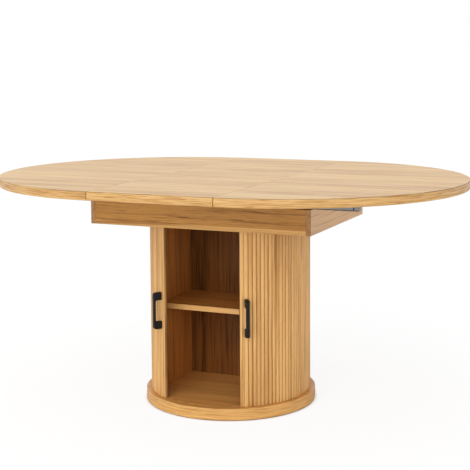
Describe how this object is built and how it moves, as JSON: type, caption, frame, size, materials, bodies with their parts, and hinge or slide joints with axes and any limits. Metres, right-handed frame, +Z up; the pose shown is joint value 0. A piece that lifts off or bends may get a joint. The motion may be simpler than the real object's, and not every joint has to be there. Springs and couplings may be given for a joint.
{
  "type": "extending dining table",
  "caption": "Extending dining table: round-ended top with a lift-out leaf on telescopic slides, over a shallow box and a round fluted pedestal with curved sliding doors and a shelf.",
  "frame": {"origin": "middle of the pedestal's foot on the floor, under the centre of the top", "axes": "+X the way the table extends, -Y the front with the door opening, +Z up"},
  "size_m": [1.6198, 1.2, 0.77],
  "materials": {
    "oak_top": "matt lacquered natural oak",
    "oak_tongue": "plain beech",
    "oak_box": "matt lacquered natural oak",
    "oak_inside": "matt lacquered natural oak",
    "oak_plinth": "matt lacquered natural oak",
    "oak_flutes": "matt lacquered natural oak",
    "door_cloth": "woven backing cloth",
    "black_metal": "matt black powder coat",
    "slide_steel": "zinc plated, satin",
    "screw_steel": "zinc plated",
    "black_plastic": "matt moulded"
  },
  "bodies": {
    "cabinet": {"plinth": "oak_plinth", "floor_glides": "black_plastic", "plinth_screws": "screw_steel", "side_panel_left": "oak_inside", "side_panel_right": "oak_inside", "inner_back_panel": "oak_inside", "rear_shell": "oak_flutes", "shelf": "oak_inside", "shelf_pins": "slide_steel", "box_bottom_board": "oak_box", "box_front_board": "oak_box", "box_back_board": "oak_box", "box_side_left": "oak_box", "box_side_right": "oak_box", "box_screws": "screw_steel", "slide_batten_front": "oak_inside", "slide_batten_back": "oak_inside", "slide_rail_front": "slide_steel", "slide_rail_back": "slide_steel", "rail_screws": "screw_steel", "rail_stops": "black_plastic"},
    "leaf": {"extension_leaf": "oak_top"},
    "top_left": {"top_half_left": "oak_top", "leaf_tongues_left": "oak_tongue", "slide_channel_front_left": "slide_steel", "slide_channel_back_left": "slide_steel", "channel_trims_left": "black_plastic", "channel_screws_left": "screw_steel"},
    "cage_left": {"roller_cages_left": "slide_steel", "slide_rollers_left": "slide_steel"},
    "door_left": {"door_backing_left": "door_cloth", "door_stile_left": "oak_flutes", "door_slats_left": "oak_flutes", "door_handle_left": "black_metal", "handle_screws_left": "screw_steel"},
    "top_right": {"top_half_right": "oak_top", "leaf_tongues_right": "oak_tongue", "slide_channel_front_right": "slide_steel", "slide_channel_back_right": "slide_steel", "channel_trims_right": "black_plastic", "channel_screws_right": "screw_steel"},
    "cage_right": {"roller_cages_right": "slide_steel", "slide_rollers_right": "slide_steel"},
    "door_right": {"door_backing_right": "door_cloth", "door_stile_right": "oak_flutes", "door_slats_right": "oak_flutes", "door_handle_right": "black_metal", "handle_screws_right": "screw_steel"}
  },
  "joints": [
    {"name": "top_right_slide", "type": "slide", "parent": "cabinet", "child": "top_right", "axis": [1, 0, 0], "range_m": [0, 0.05]},
    {"name": "top_left_slide", "type": "slide", "parent": "cabinet", "child": "top_left", "axis": [-1, 0, 0], "range_m": [0, 0.05]},
    {"name": "cage_right_slide", "type": "slide", "parent": "cabinet", "child": "cage_right", "axis": [1, 0, 0], "range_m": [0, 0.025]},
    {"name": "cage_left_slide", "type": "slide", "parent": "cabinet", "child": "cage_left", "axis": [-1, 0, 0], "range_m": [0, 0.025]},
    {"name": "leaf_lift", "type": "slide", "parent": "cabinet", "child": "leaf", "axis": [0, 0, 1], "range_m": [0, 0.15]},
    {"name": "door_right_turn", "type": "hinge", "parent": "cabinet", "child": "door_right", "pos_m": [0, 0, 0.329], "axis": [0, 0, 1], "range_deg": [-29.8, 25]},
    {"name": "door_left_turn", "type": "hinge", "parent": "cabinet", "child": "door_left", "pos_m": [0, 0, 0.329], "axis": [0, 0, 1], "range_deg": [-25, 29.8]}
  ],
  "couplings": [
    {"joint": "cage_right_slide", "follows": "top_right_slide", "ratio": 0.5},
    {"joint": "cage_left_slide", "follows": "top_left_slide", "ratio": 0.5}
  ]
}
